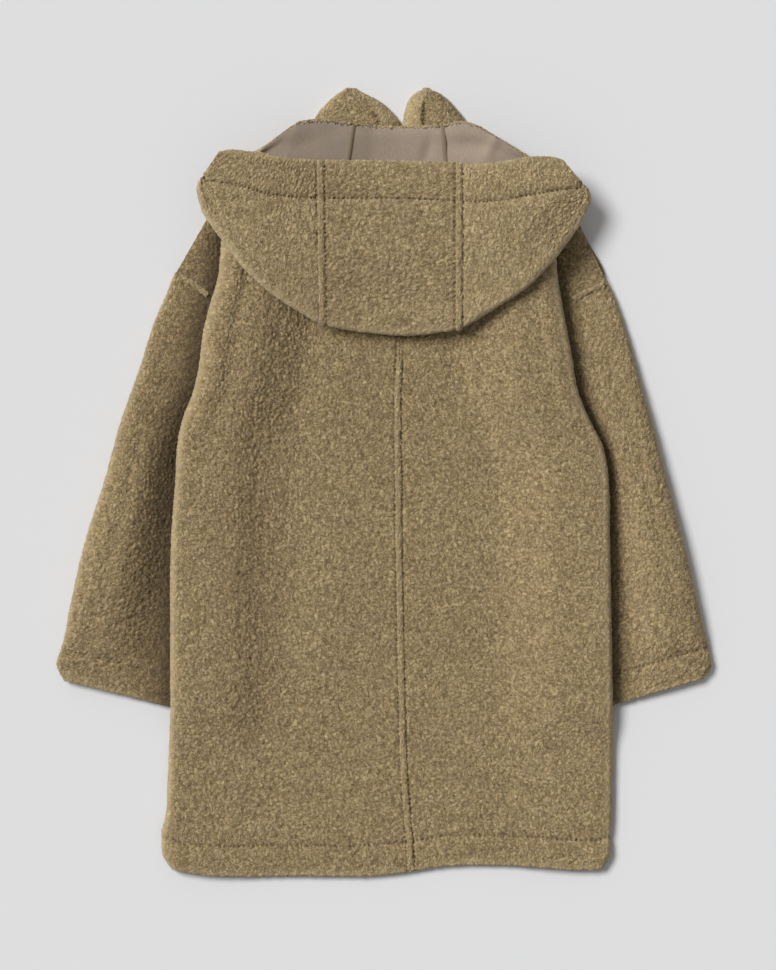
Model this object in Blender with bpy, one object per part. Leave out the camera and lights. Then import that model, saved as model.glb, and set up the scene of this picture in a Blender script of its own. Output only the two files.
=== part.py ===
"""A hooded teddy coat laid flat on its front, back up, with the hood folded down over the back.

The frame: +X to the right and +Y towards the neck as seen from above, +Z up, the floor at z = 0.
The tables are in millimetres. Each cloth piece is a wall of even thickness round a middle surface
that a function works out from its table, so the pieces lie on each other as the cloth does.
"""

import math

import bpy
import numpy as np

MM = 0.001
WALL = 5.5  # thickness of the bonded cloth with its pile
HALF = WALL / 2
FACES = (HALF, -HALF)  # where a wall's face and its reverse lie from its middle surface
SEAM_GAP = 0.35  # clearance between two pieces that are sewn together
RIM_DEPTH = 42.0  # from the hood's rim to its stitching
GROOVE = 1.8  # depth of the stitched groove there
ROLL_RADIUS = 5.0  # of the middle surface where the back rolls over at the side
ROLL_EXTRA = 1.8  # added to it where the cloth turns right back beneath itself
SIDE_SPAN = 125.0  # how far in from its fold the back rises over the sleeve beneath
SEAM_RIDGE_WIDTH = 8.0
SEAM_RIDGE_HEIGHT = 2.6
COLOURS = {
    "teddy": (0.37, 0.285, 0.155, 1.0),
    "teddy_seam": (0.31, 0.235, 0.125, 1.0),
    "suede": (0.31, 0.265, 0.205, 1.0),
}

# The back, a row for each level: the seam's x, the x of each side fold, the height of the middle
# surface at the centre and near each side, the turn of the side roll in degrees, and how far the
# cloth runs back beneath the roll.
BACK_COLUMNS = ("y", "seam", "left", "right", "mid_z", "left_z", "right_z", "turn", "tuck")
BACK_ROWS = (
    (352, 21, -105, 150, 13.6, 13.6, 13.6, 60, 1),
    (320, 21, -150, 186, 13.6, 17, 17, 75, 1.5),
    (300, 21, -174, 196, 13.2, 25, 25, 150, 10),
    (282, 21, -188, 199, 12.8, 31, 31, 178, 24),
    (264, 21, -190, 200, 12.2, 31.5, 31.5, 178, 28),
    (235, 20, -193, 202, 11.6, 31.5, 31.5, 178, 30),
    (205, 20, -202, 207, 10.5, 31.5, 31.5, 178, 30),
    (172, 19, -210, 213, 10, 32.5, 32, 178, 28),
    (140, 18, -214, 219, 10, 33, 32, 178, 22),
    (105, 16, -221, 225, 10, 32.5, 31.5, 176, 14),
    (68, 16, -235, 240, 10, 31.5, 31, 150, 4),
    (40, 16, -240, 254, 10, 30.5, 29.5, 115, 2),
    (0, 17, -242, 261, 10, 30, 29, 90, 1),
    (-50, 17, -246, 262, 10, 30, 29, 90, 1),
    (-110, 18, -248, 263, 10, 30, 29, 90, 1),
    (-170, 19, -248, 264, 10, 30, 28.5, 90, 1),
    (-225, 20, -248, 265, 10, 29, 27.5, 90, 1),
    (-268, 21, -248, 266, 10, 26, 25.7, 90, 1),
    (-304, 22, -250, 266, 10, 16.5, 16.5, 90, 3),
    (-350, 24, -252, 266, 10, 14, 14, 90, 3),
    (-400, 28, -256, 265, 10, 14, 14, 90, 3),
    (-411, 29, -259, 264, 10, 14, 14, 90, 3),
    (-418, 30, -259, 264, 8.9, 12.6, 12.6, 90, 2),
    (-425, 30, -259, 264, 10, 14, 14, 90, 3),
    (-440, 31, -257, 263, 10, 14, 14, 90, 3),
    (-451, 31, -247, 256, 9.6, 13, 13, 70, 1.5),
)
HEM_LEVEL = -451.0
HEM_FADE = 190.0  # how far above the hem its waver dies away
HEM_COLUMNS = ("x", "y")
HEM_LINE = (
    (-259, -446), (-232, -454), (-191, -458), (-102, -457), (-42, -458), (14, -455),
    (72, -445), (130, -444), (188, -448), (241, -451), (266, -446),
)

# Each sleeve, a row for each crossing line from its outer edge to its inner edge, which lies under
# the body: the outer point, the inner point and the height of the upper layer's middle surface.
SLEEVE_COLUMNS = ("outer_x", "outer_y", "inner_x", "inner_y", "top_z", "inner_z")
SLEEVE_LEFT = (
    (-246, 243, -190, 76, 10.4, 9.6),
    (-255, 218, -198, 59, 12, 9.6),
    (-267, 189, -205, 40, 15, 9.6),
    (-285, 130, -211, 14, 20, 9.6),
    (-305, 72, -214, -8, 25, 9.6),
    (-325, 1, -216, -50, 28, 9.6),
    (-347, -68, -219, -108, 29, 9.6),
    (-365, -145, -224, -168, 26, 9.6),
    (-374, -188, -229, -224, 17.5, 9.6),
    (-376, -194, -230, -230, 14.4, 9.5),
    (-378, -200, -231, -236, 15.2, 9.6),
    (-381, -214, -232, -251, 12.8, 9.5),
    (-373, -230, -233, -264, 11.9, 9.4),
)
SLEEVE_RIGHT = (
    (264, 230, 204, 86, 10.4, 9.6),
    (274, 206, 216, 66, 11.8, 9.6),
    (284, 172, 227, 44, 14.4, 9.6),
    (299, 115, 234, 16, 18.5, 9.6),
    (315, 56, 236, -14, 22.5, 9.6),
    (332, -8, 237, -54, 25, 9.6),
    (350, -75, 240, -108, 25.5, 9.6),
    (366, -145, 245, -168, 23, 9.6),
    (376, -186, 250, -222, 16.5, 9.6),
    (378, -193, 251, -229, 13.8, 9.5),
    (379, -200, 252, -236, 14.8, 9.6),
    (381, -216, 253, -251, 12.8, 9.5),
    (372, -228, 254, -262, 11.9, 9.4),
)
ARMHOLE_BULGE = {"left": 44.0, "right": 48.0}  # how far the armhole curves in from a straight line
SLEEVE_FAN = 0.36  # share of the sleeve over which that curve straightens
SLOPE_START = 0.26  # share of the way across where the upper layer starts to sink to the body
SLOPE_SPAN = 0.5
LOWER_ARCH = 0.35  # how far the sleeve's lower layer arches clear of the floor

# The part of the back between its fold and the armhole, which lies lower than the fold: lines
# from the armhole's curve up to a line under the hood, from the outer edge inwards.
SHOULDER_TOP = {"left": ((-198, 318), (-184, 300)), "right": ((218, 316), (206, 300))}
SHOULDER_COLUMNS = ("share", "z")
SHOULDER_ROWS = (
    (0.016, 9.2), (0.05, 10.8), (0.1, 11.2), (0.15, 11.2), (0.2, 11.0), (0.27, 10.4), (0.34, 9.8), (0.41, 9.6),
)

# The fronts beneath, a row for each level: centre edge, outer edges, and for each side the x where
# the cloth has risen over the sleeve's edge, and how high.
FRONT_COLUMNS = ("y", "centre", "left", "right", "left_rise", "right_rise", "lift")
FRONT_ROWS = (
    (378, 21, -60, 100, -50, 90, 0), (352, 21, -105, 150, -90, 130, 0),
    (318, 21, -185, 200, -150, 170, 0), (302, 21, -204, 222, -160, 180, 0),
    (270, 21, -224, 242, -160, 180, 0), (246, 21, -236, 255, -160, 180, 0),
    (238, 20, -234, 257, -160, 180, 0), (222, 20, -211.5, 239.5, -160, 180, 0),
    (205, 20, -194, 211.5, -160, 180, 0), (187, 19, -181.5, 194.7, -160, 175, 0),
    (160, 19, -173.5, 187, -160, 170, 0), (121, 18, -183, 199, -158, 170, 0),
    (100, 17, -187.4, 203.2, -160, 170, 3), (80, 17, -189, 202.4, -164, 180, 13),
    (60, 17, -203, 221, -174, 196, 13.4), (42, 17, -226, 240, -190, 214, 13.7),
    (26, 17, -235, 248, -200, 226, 13.7), (0, 17, -238, 255, -204, 228, 13.4),
    (-50, 17, -243, 259, -209, 229, 13), (-110, 18, -245, 260, -213, 232, 13),
    (-170, 19, -245, 261, -217, 238, 13), (-225, 20, -245, 262, -223, 244, 13),
    (-268, 21, -245, 263, -226, 247, 13), (-304, 22, -247, 263, -226, 247, 0),
    (-350, 24, -249, 263, -226, 247, 0), (-400, 28, -253, 262, -226, 247, 0),
    (-440, 31, -254, 260, -226, 247, 0), (-451, 31, -244, 253, -226, 247, 0),
)
RISE_SPAN = 26.0  # how far in plan the fronts take to rise over the sleeve's edge

# The hood, a row for each line that runs from the rim over the outer layer to the fold and back
# under to the neck: its points in plan, and the heights of the outer and the under layer.
HOOD_COLUMNS = ("at", "rim_x", "rim_y", "fold_x", "fold_y", "neck_x", "neck_y", "top_z", "base_z")
HOOD_ROWS = (
    (0.00, -191, 377, -214, 342, -168, 369, 50.5, 40.0),
    (0.04, -178, 380, -216, 330, -152, 375, 51.0, 40.0),
    (0.09, -160, 378, -209, 308, -136, 387, 51.0, 40.0),
    (0.15, -142, 376, -189, 280, -112, 406, 51.0, 40.0),
    (0.22, -124, 371.5, -162, 245, -98, 415, 50.0, 39.5),
    (0.30, -104, 369, -126, 212, -76, 419, 47.0, 35.0),
    (0.38, -73.5, 368, -71, 179, -35, 415, 42.5, 26.5),
    (0.45, -38, 368, -22, 171, -10, 412, 40.5, 20.8),
    (0.52, 8, 368, 30, 167, 22, 411, 40.5, 20.8),
    (0.60, 87, 365, 87, 174, 68, 413, 42.5, 27.0),
    (0.68, 112, 363, 126, 197, 90, 417, 47.0, 34.5),
    (0.76, 134, 365, 166, 223, 108, 411, 50.0, 39.5),
    (0.84, 160, 370, 198, 256, 126, 400, 51.0, 40.0),
    (0.91, 184, 372, 226, 295, 149, 386, 51.0, 40.0),
    (0.96, 197, 371, 239, 320, 166, 373, 51.0, 40.0),
    (1.00, 207, 368, 236, 333, 183, 365, 50.5, 40.0),
)
HOOD_SEAMS = (0.38, 0.60)  # where the two gusset seams run
RIM_LIFT = 3.5  # how far the mouth's upper edge stands up
HOOD_GAP = 3.0  # clearance between the hood's two layers away from the mouth

# The rounded front ends above the neck, a row for each level.
TIP_COLUMNS = ("y", "left", "right", "height")
TIP_LEFT = (
    (378.35, -97, 18, 13), (400, -92, 18, 14), (418, -83, 18.5, 15), (430, -76, 9, 15),
    (441, -66, -3, 15), (449, -57, -17, 14), (455, -48, -30, 12),
)
TIP_RIGHT = (
    (378.35, 22, 109, 13), (400, 22, 104, 14), (418, 22, 96, 15), (434, 25, 84, 15),
    (447, 31, 71, 15), (453, 38, 62, 14), (455.4, 44, 54, 12),
)


def table(columns, rows):
    """The table's columns by name, as arrays."""
    values = np.array(rows, float)
    return {name: values[:, index] for index, name in enumerate(columns)}


def smooth(value):
    value = np.clip(value, 0.0, 1.0)
    return value * value * (3 - 2 * value)


def material(name, colour, rough=0.95):
    found = bpy.data.materials.get(name)
    if found:
        return found
    found = bpy.data.materials.new(name)
    found.use_nodes = True
    shader = found.node_tree.nodes["Principled BSDF"]
    shader.inputs["Base Color"].default_value = colour
    shader.inputs["Roughness"].default_value = rough
    shader.inputs["Metallic"].default_value = 0.0
    found.diffuse_color = colour
    return found


def add_object(name, points, faces, colour):
    """A mesh object from points in millimetres, with its faces turned outwards."""
    points = np.asarray(points, float)
    corners = [points[list(face)] for face in faces]
    volume = 0.0
    for corner in corners:
        for index in range(1, len(corner) - 1):
            volume += np.dot(corner[0], np.cross(corner[index], corner[index + 1]))
    if volume < 0:
        faces = [tuple(reversed(face)) for face in faces]
    mesh = bpy.data.meshes.new(name)
    mesh.from_pydata((points * MM).tolist(), [], faces)
    mesh.materials.append(material(colour, COLOURS[colour]))
    mesh.update()
    mesh.shade_smooth()
    obj = bpy.data.objects.new(name, mesh)
    bpy.context.scene.collection.objects.link(obj)
    return obj


def quads(rows, columns, wrap, start, flip):
    found = []
    last = columns if wrap else columns - 1
    for row in range(rows - 1):
        for column in range(last):
            beside = (column + 1) % columns
            corner = (row * columns + column, row * columns + beside,
                      (row + 1) * columns + beside, (row + 1) * columns + column)
            face = tuple(start + index for index in corner)
            found.append(tuple(reversed(face)) if flip else face)
    return found


def wall(name, layers, colour="teddy", wrap=False):
    """A wall between two grids of points, its face and its reverse, closed along all its edges."""
    outer, inner = np.asarray(layers, float)
    rows, columns = outer.shape[:2]
    count = rows * columns
    points = np.concatenate([outer.reshape(-1, 3), inner.reshape(-1, 3)])
    faces = quads(rows, columns, wrap, 0, False) + quads(rows, columns, wrap, count, True)
    for row in (0, rows - 1):
        for column in range(columns if wrap else columns - 1):
            first = row * columns + column
            second = row * columns + (column + 1) % columns
            face = (first, first + count, second + count, second)
            faces.append(face if row == 0 else tuple(reversed(face)))
    if not wrap:
        for column in (0, columns - 1):
            for row in range(rows - 1):
                first = row * columns + column
                second = first + columns
                face = (first, second, second + count, first + count)
                faces.append(face if column == 0 else tuple(reversed(face)))
    return add_object(name, points, faces, colour)


def hem_waver(x, y):
    """How far the hem's own line departs from its level, dying away above it."""
    hem = table(HEM_COLUMNS, HEM_LINE)
    departure = np.interp(x, hem["x"], hem["y"]) - HEM_LEVEL
    return departure * smooth((HEM_LEVEL + HEM_FADE - y) / HEM_FADE)


def back_section(row, side, across, off=0.0):
    """One level of the back: the top layer from the seam outwards, the side roll and the tuck. Off
    is the distance from the middle surface, positive towards the cloth's face."""
    sign = -1.0 if side == "left" else 1.0
    start = row["seam"] + sign * (SEAM_GAP / 2)
    edge = row[side]
    side_z = row[side + "_z"]
    turn = math.radians(row["turn"])
    radius = ROLL_RADIUS + ROLL_EXTRA * smooth((row["turn"] - 90) / 80)
    reach = sign * edge - radius - HALF
    inside = sign * start
    points = []
    for share in across:
        x = inside + (reach - inside) * share
        lift = smooth((x - (reach - SIDE_SPAN)) / (0.68 * SIDE_SPAN))
        z = row["mid_z"] + (side_z - row["mid_z"]) * lift
        points.append((sign * x, row["y"], z + off))
    middle = side_z - radius
    for share in (0.25, 0.5, 0.75, 1.0):
        angle = turn * share
        x = reach + (radius + off) * math.sin(angle)
        points.append((sign * x, row["y"], middle + (radius + off) * math.cos(angle)))
    for share in (0.5, 1.0):
        x = reach + (radius + off) * math.sin(turn) + row["tuck"] * share * math.cos(turn)
        z = middle + (radius + off) * math.cos(turn) - row["tuck"] * share * math.sin(turn)
        points.append((sign * x, row["y"], z))
    return points


def build_back(side):
    rows = table(BACK_COLUMNS, BACK_ROWS)
    across = np.linspace(0, 1, 9)
    layers = []
    for off in FACES:
        grid = []
        for index in range(len(rows["y"])):
            row = {name: rows[name][index] for name in rows}
            grid.append(back_section(row, side, across, off))
        grid = np.array(grid)
        grid[..., 1] += hem_waver(grid[..., 0], grid[..., 1])
        layers.append(grid)
    return wall("back_" + side, layers)


def build_front(side):
    rows = table(FRONT_COLUMNS, FRONT_ROWS)
    sign = -1.0 if side == "left" else 1.0
    grid = []
    for index, y in enumerate(rows["y"]):
        start = sign * rows["centre"][index] + SEAM_GAP / 2
        end = sign * rows[side][index]
        risen = sign * rows[side + "_rise"][index]
        foot = risen - RISE_SPAN
        shares = [start + (foot - start) * share for share in (0, 0.35, 0.7, 1.0)]
        shares += [foot + RISE_SPAN * share for share in (0.25, 0.5, 0.75, 1.0)]
        shares += [risen + (end - risen) * share for share in (0.5, 1.0)]
        line = []
        for x in shares:
            z = HALF + rows["lift"][index] * smooth((x - foot) / RISE_SPAN)
            line.append((sign * x, y, z))
        grid.append(line)
    grid = np.array(grid)
    grid[..., 1] += hem_waver(grid[..., 0], grid[..., 1])
    return wall("front_" + side, [grid + (0, 0, off) for off in FACES])


def armhole_offset(share, side):
    """The armhole's curve: round from its outer end, and running out before the sleeve's inner fold."""
    outer = np.sin(math.pi * np.clip(share, 0, 0.5)) ** 0.8
    return ARMHOLE_BULGE[side] * np.where(share < 0.5, outer, 1 - smooth((share - 0.5) / 0.5))


def sleeve_plan(rows, along, across, side):
    """A point of the sleeve in plan: along from armhole to cuff, across from outer to inner."""
    steps = np.linspace(0, 1, len(rows["outer_x"]))
    outer = np.array([np.interp(along, steps, rows["outer_x"]), np.interp(along, steps, rows["outer_y"])])
    inner = np.array([np.interp(along, steps, rows["inner_x"]), np.interp(along, steps, rows["inner_y"])])
    chord = inner - outer
    length = np.linalg.norm(chord)
    sign = 1.0 if side == "left" else -1.0
    normal = np.array([-chord[1], chord[0]]) / length * sign
    fade = 1 - smooth(along / SLEEVE_FAN)
    return outer + chord * across + normal * armhole_offset(across, side) * fade, length


def build_shoulder(side):
    """The back's lower part beside its fold, rounded down to the front at its outer edge."""
    sleeve = table(SLEEVE_COLUMNS, SLEEVE_LEFT if side == "left" else SLEEVE_RIGHT)
    rows = table(SHOULDER_COLUMNS, SHOULDER_ROWS)
    outer_top, inner_top = np.array(SHOULDER_TOP[side], float)
    grid = []
    for up in np.linspace(0, 1, 5):
        line = []
        for share, z in zip(rows["share"], rows["z"]):
            foot = sleeve_plan(sleeve, 0.0, share, side)[0]
            top = outer_top + (inner_top - outer_top) * share / rows["share"][-1]
            plan = foot + (top - foot) * up
            line.append((plan[0], plan[1], z))
        grid.append(line)
    grid = np.array(grid)
    return wall("back_{}_shoulder".format(side), [grid + (0, 0, off) for off in FACES])


def sleeve_ring(rows, along, side, off=0.0):
    """One ring of the flattened sleeve: the lower layer outwards, the edge, the upper layer back."""
    steps = np.linspace(0, 1, len(rows["outer_x"]))
    top_z = np.interp(along, steps, rows["top_z"])
    inner_z = np.interp(along, steps, rows["inner_z"])
    length = sleeve_plan(rows, along, 0.5, side)[1]
    radius = (top_z - HALF) / 2
    inner_radius = (inner_z - HALF) / 2
    start = (HALF + radius) / length
    end = 1 - (HALF + inner_radius) / length
    ring = []
    sway = 0.65 + 0.35 * math.sin(11.0 * along)
    for step in np.linspace(0, 1, 6):
        arch = LOWER_ARCH * sway * math.sin(math.pi * step)
        ring.append((end + (start - end) * step, HALF + arch - off))
    for angle in (45, 90, 135):
        turn = math.radians(angle)
        across = start - math.sin(turn) * (radius + off) / length
        ring.append((across, HALF + radius - (radius + off) * math.cos(turn)))
    for share in (0, 0.16, 0.3, 0.42, 0.53, 0.64, 0.76, 0.88, 1.0):
        z = top_z + (inner_z - top_z) * smooth((share - SLOPE_START) / SLOPE_SPAN)
        ring.append((start + (end - start) * share, z + off))
    for angle in (45, 90, 135):
        turn = math.radians(angle)
        across = end + math.sin(turn) * (inner_radius + off) / length
        ring.append((across, HALF + inner_radius + (inner_radius + off) * math.cos(turn)))
    points = []
    for across, z in ring:
        plan = sleeve_plan(rows, along, min(max(across, 0.0), 1.0), side)[0]
        points.append((plan[0], plan[1], z))
    return points


def build_sleeve(side):
    rows = table(SLEEVE_COLUMNS, SLEEVE_LEFT if side == "left" else SLEEVE_RIGHT)
    steps = np.linspace(0, 1, len(rows["outer_x"]))
    first = 0.004
    stations = [first] + [step for step in steps if step > first]
    layers = [[sleeve_ring(rows, along, side, off) for along in stations] for off in FACES]
    return wall("sleeve_" + side, layers, wrap=True)


def hood_row(at):
    rows = table(HOOD_COLUMNS, HOOD_ROWS)
    return {name: float(np.interp(at, rows["at"], rows[name])) for name in rows}


def hood_line(at, off=0.0):
    """One line of the hood: rim, outer layer, fold, under layer and the rolled neck edge."""
    row = hood_row(at)
    rim = np.array([row["rim_x"], row["rim_y"]])
    fold = np.array([row["fold_x"], row["fold_y"]])
    neck = np.array([row["neck_x"], row["neck_y"]])
    down = (fold - rim) / np.linalg.norm(fold - rim)
    low = row["base_z"]
    near_fold = low + WALL + HOOD_GAP
    radius = (near_fold - low) / 2
    turn_at = fold - down * (HALF + radius)
    rim_z = row["top_z"] + RIM_LIFT
    points = []
    length = np.linalg.norm(turn_at - rim)
    hem = min(0.8, RIM_DEPTH / length)
    shares = [hem * part for part in (0, 0.3, 0.6, 0.85, 1.0, 1.15)]
    shares += [shares[-1] + (1 - shares[-1]) * part for part in (0.2, 0.4, 0.6, 0.8, 1.0)]
    for share in shares:
        plan = rim + (turn_at - rim) * share
        bulge = smooth((1 - share) / 0.55)
        z = near_fold + (rim_z - near_fold) * bulge - GROOVE * math.exp(-((share - hem) * length / 5) ** 2)
        points.append((plan[0], plan[1], z + off))
    middle = low + radius
    for angle in (45, 90, 135):
        turn = math.radians(angle)
        plan = turn_at + down * (radius + off) * math.sin(turn)
        points.append((plan[0], plan[1], middle + (radius + off) * math.cos(turn)))
    back = (neck - turn_at) / np.linalg.norm(neck - turn_at)
    neck_at = neck - back * HALF
    for share in (0, 0.2, 0.4, 0.6, 0.74, 0.86, 0.95, 1.0):
        plan = turn_at + (neck_at - turn_at) * share
        rise = 5.0 * smooth((share - 0.8) / 0.2)
        points.append((plan[0], plan[1], low + rise - off))
    return points


def build_hood(name, first, last, count):
    seam = 0.0011
    start = first + (seam if first > 0 else 0)
    end = last - (seam if last < 1 else 0)
    stations = np.linspace(start, end, count)
    return wall(name, [[hood_line(at, off) for at in stations] for off in FACES])


def build_tip(name, rows):
    """A rounded front end: a flat-bottomed pad of two layers of cloth."""
    rows = table(TIP_COLUMNS, rows)
    outline = [(0.0, 0.0), (0.0, 0.35), (0.07, 0.7), (0.2, 0.94), (0.4, 1.0), (0.6, 1.0),
               (0.8, 0.94), (0.93, 0.7), (1.0, 0.35), (1.0, 0.0)]
    rings = []
    for y, left, right, height in zip(rows["y"], rows["left"], rows["right"], rows["height"]):
        rings.append([(left + (right - left) * x, y, height * z) for x, z in outline])
    for beyond, low in ((2.2, 0.6), (3.0, 0.15)):
        last = rings[len(rows["y"]) - 1]
        rings.append([(x, y + beyond, z * low) for x, y, z in last])
    size = len(outline)
    points = np.array(rings).reshape(-1, 3)
    faces = quads(len(rings), size, True, 0, False)
    faces.append(tuple(reversed(range(size))))
    faces.append(tuple(range(len(points) - size, len(points))))
    return add_object(name, points, faces, "teddy")


def ridge(name, centre, normal, width=SEAM_RIDGE_WIDTH, height=SEAM_RIDGE_HEIGHT):
    """A low rounded ridge that follows points just above a panel's surface."""
    centre = np.asarray(centre, float)
    normal = np.asarray(normal, float)
    along = np.gradient(centre, axis=0)
    side = np.cross(along, normal)
    side /= np.linalg.norm(side, axis=1, keepdims=True)
    profile = ((-0.5, 0.0), (-0.38, 0.7), (0.0, 1.0), (0.38, 0.7), (0.5, 0.0))
    rings = [centre + side * width * x + normal * height * z for x, z in profile]
    points = np.stack(rings, axis=1).reshape(-1, 3)
    size = len(profile)
    faces = quads(len(centre), size, True, 0, False)
    faces.append(tuple(reversed(range(size))))
    faces.append(tuple(range(len(points) - size, len(points))))
    return add_object(name, points, faces, "teddy_seam")


def build_centre_seam():
    rows = table(BACK_COLUMNS, BACK_ROWS)
    keep = rows["y"] < 160
    x = rows["seam"][keep]
    y = rows["y"][keep]
    y = y + hem_waver(x, y)
    z = rows["mid_z"][keep] + HALF + 0.6
    centre = np.stack([x, y, z], axis=1)
    normal = np.tile((0.0, 0.0, 1.0), (len(x), 1))
    return ridge("centre_back_seam", centre, normal)


def build_hood_ridge(name, at, shares, lift, width):
    line = np.array(hood_line(at))
    beside = np.array(hood_line(at + 0.0005))
    before = np.array(hood_line(at - 0.0005))
    normal = np.cross(beside - before, np.gradient(line, axis=0))
    normal /= np.linalg.norm(normal, axis=1, keepdims=True)
    normal *= lift
    centre = line + normal * (HALF + 0.9)
    return ridge(name, centre[shares], normal[shares], width=width)


def build_armhole(side):
    rows = table(SLEEVE_COLUMNS, SLEEVE_LEFT if side == "left" else SLEEVE_RIGHT)
    shares = np.linspace(0.045, 0.20, 6)
    points = []
    for share in shares:
        plan = sleeve_plan(rows, 0.002, share, side)[0]
        points.append((plan[0], plan[1], 14.4))
    normal = np.tile((0.0, 0.0, 1.0), (len(points), 1))
    return ridge("armhole_seam_" + side, points, normal, width=7.5, height=2.4)


def main():
    for obj in list(bpy.data.objects):
        bpy.data.objects.remove(obj, do_unlink=True)
    for side in ("left", "right"):
        build_front(side)
        build_back(side)
        build_shoulder(side)
        build_sleeve(side)
        build_armhole(side)
    build_centre_seam()
    build_hood("hood_left", 0.0, HOOD_SEAMS[0], 12)
    build_hood("hood_centre", HOOD_SEAMS[0], HOOD_SEAMS[1], 7)
    build_hood("hood_right", HOOD_SEAMS[1], 1.0, 12)
    for name, at in zip(("left", "right"), HOOD_SEAMS):
        build_hood_ridge("hood_seam_" + name, at, slice(0, 12), -1.0, 8.0)
        build_hood_ridge("hood_inner_seam_" + name, at, slice(18, 22), 1.0, 6.5)
    build_tip("front_tip_left", TIP_LEFT)
    build_tip("front_tip_right", TIP_RIGHT)


main()
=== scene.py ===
"""The looks of a hooded teddy coat laid flat on its front: curly pile, smooth hood inside, seams and hems.

It repeats the solids' middle surfaces in millimetres, at a fine pitch, and raises the pile on them.
"""

import itertools
import math

import bpy
import numpy as np
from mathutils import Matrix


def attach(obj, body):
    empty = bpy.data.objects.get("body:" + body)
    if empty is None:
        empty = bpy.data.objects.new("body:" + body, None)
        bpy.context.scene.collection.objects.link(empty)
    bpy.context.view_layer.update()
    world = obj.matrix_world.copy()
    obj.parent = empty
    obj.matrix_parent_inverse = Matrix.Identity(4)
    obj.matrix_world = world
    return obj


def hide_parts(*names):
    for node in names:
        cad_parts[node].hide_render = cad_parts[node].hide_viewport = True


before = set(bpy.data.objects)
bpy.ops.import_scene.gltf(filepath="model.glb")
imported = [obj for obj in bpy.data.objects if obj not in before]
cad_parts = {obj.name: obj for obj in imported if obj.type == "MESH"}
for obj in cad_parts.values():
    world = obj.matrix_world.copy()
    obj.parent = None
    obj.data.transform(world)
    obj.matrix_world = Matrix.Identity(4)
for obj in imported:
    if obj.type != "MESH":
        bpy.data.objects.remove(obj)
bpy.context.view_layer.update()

MM = 0.001
SIDES = ("left", "right")
PHOTO_SIZE = (776, 970)
PHOTO_CENTRE = (384.0, 481.0)  # the photograph's pixel over the coat's middle
PIXEL = 1.16  # millimetres a pixel
CAMERA_HEIGHT = 4.2  # in metres
FOCUS_LEVEL = 0.02  # the level at which the scale is the photograph's
SENSOR = 24.0
FLOOR_SIZE = 6.0
FLOOR_LEVEL = -0.0004
FLOOR_COLOUR = (0.78, 0.78, 0.79, 1.0)
WHITE = (1.0, 1.0, 1.0, 1.0)
WORLD_STRENGTH = 0.28
SUNS = (  # where each comes from, how soft in degrees, how strong, and whether it lights the floor
    ("key", (-1.05, 0.50, 1.0), 30.0, 3.1, False),
    ("floor_key", (-0.60, 0.42, 1.0), 24.0, 2.55, True),
)
# Painted shade in the hollow beside each side fold: how dark, and how far out.
GUTTER_PAINTED_SHADE = {"left": (1.0, 34.0), "right": (0.75, 14.0)}
FINE = 1.45  # pitch of the visible surface, in millimetres
SLEEVE_FINE = 1.6
HIDDEN_PITCH = 7.0
HIDDEN_BACK_ROWS = 3  # rows of the back that lie under the hood
TOP_COLUMN = 20  # a column of each fine grid that lies in its top layer
CURL_PITCH = 4.3
PILE_DEPTH = 3.0
PILE_LEVEL = 0.72  # the share of the pile's depth that lies inside the solid's own surface
CURL_WARP = 0.26  # how far the curls wander, as a share of their pitch
CREVICE_WIDTH = 0.42
SMALL_CURLS = 0.30  # the share of the finer curls in the relief
CALM_RELIEF = 0.75  # how much of the relief goes where the pile lies calm
# how far the shading goes pale with painted light where the pile lies smooth
CALM_PAINTED_LIGHT = 0.6
PILE_CHANNELS = (("tone", 0.6), ("own", 0.5), ("calm", 0.0))  # with the values of plain cloth
# The colour of painted shade deep in the pile's crevices.
CREVICE_SHADE_COLOUR = (0.105, 0.070, 0.031, 1)
CREVICE_SHADE = ((0.0, (0.46, 0.41, 0.34, 1)), (0.022, (0.74, 0.71, 0.66, 1)), (0.06, (1, 1, 1, 1)))
CREVICE_DEPTH = ((0.0, (0, 0, 0, 1)), (0.09, (1, 1, 1, 1)))
EDGE_TURNS = (22, 45, 68, 90, 113, 136, 158, 180)  # degrees round a cut edge
SEAM_WIDTH = 8.0
SEAM_CLEAR = 0.2  # from the edge of a seam's ridge to the stitching beside it
SEAM_HIDDEN_ABOVE = 160  # the level at which the centre-back seam runs under the hood
STITCH = 5.6  # length of a stitch
STITCH_WIDTH = 1.5
FAR = 99.0  # a distance at which no stitching shows
HEM_DEPTH = 33.0  # from the bottom edge up to the row of hem stitching
CUFF_DEPTH = 36.0
SUEDE_LIFT = 0.35  # from the solid's reverse to the smooth inside
CREASES = (  # x, y, direction in degrees, half length, half width, height or depth
    (-95, -60, 82, 170, 30, -1.6), (-60, 120, 70, 90, 24, 1.4), (120, -150, 96, 180, 34, -1.5),
    (150, 60, 100, 120, 26, 1.3), (-160, -280, 88, 120, 30, 1.2), (70, -330, 84, 90, 26, -1.2),
    (-300, -60, 74, 120, 14, 1.2), (300, -60, 106, 120, 14, 1.0),
)
INNER_CREASES = (  # the same for the smooth inside of the hood above the mouth
    (98, 388, -8, 26, 8, -3.8), (124, 386, 60, 24, 7, 2.2), (20, 402, 0, 50, 8, 1.2),
    (50, 380, 75, 16, 7, -2.0), (-78, 396, 20, 30, 8, -0.8), (-120, 388, 35, 20, 8, 0.8),
)
TIP_FOLDS = {  # where the edge beside the opening is turned back, as x and y up the tip
    "left": ((3, 378), (0, 405), (-8, 425), (-18, 440), (-26, 452)),
    "right": ((44, 378), (44.5, 430), (46, 444), (52, 455)),
}
TIP_OUTLINE = (  # across a tip, as shares of its width and height
    (0.0, 0.0), (0.0, 0.35), (0.07, 0.7), (0.2, 0.94), (0.4, 1.0),
    (0.6, 1.0), (0.8, 0.94), (0.93, 0.7), (1.0, 0.35), (1.0, 0.0),
)
TIP_TURNS = (25, 50, 72, 88)  # degrees over the tip's far end
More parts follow.
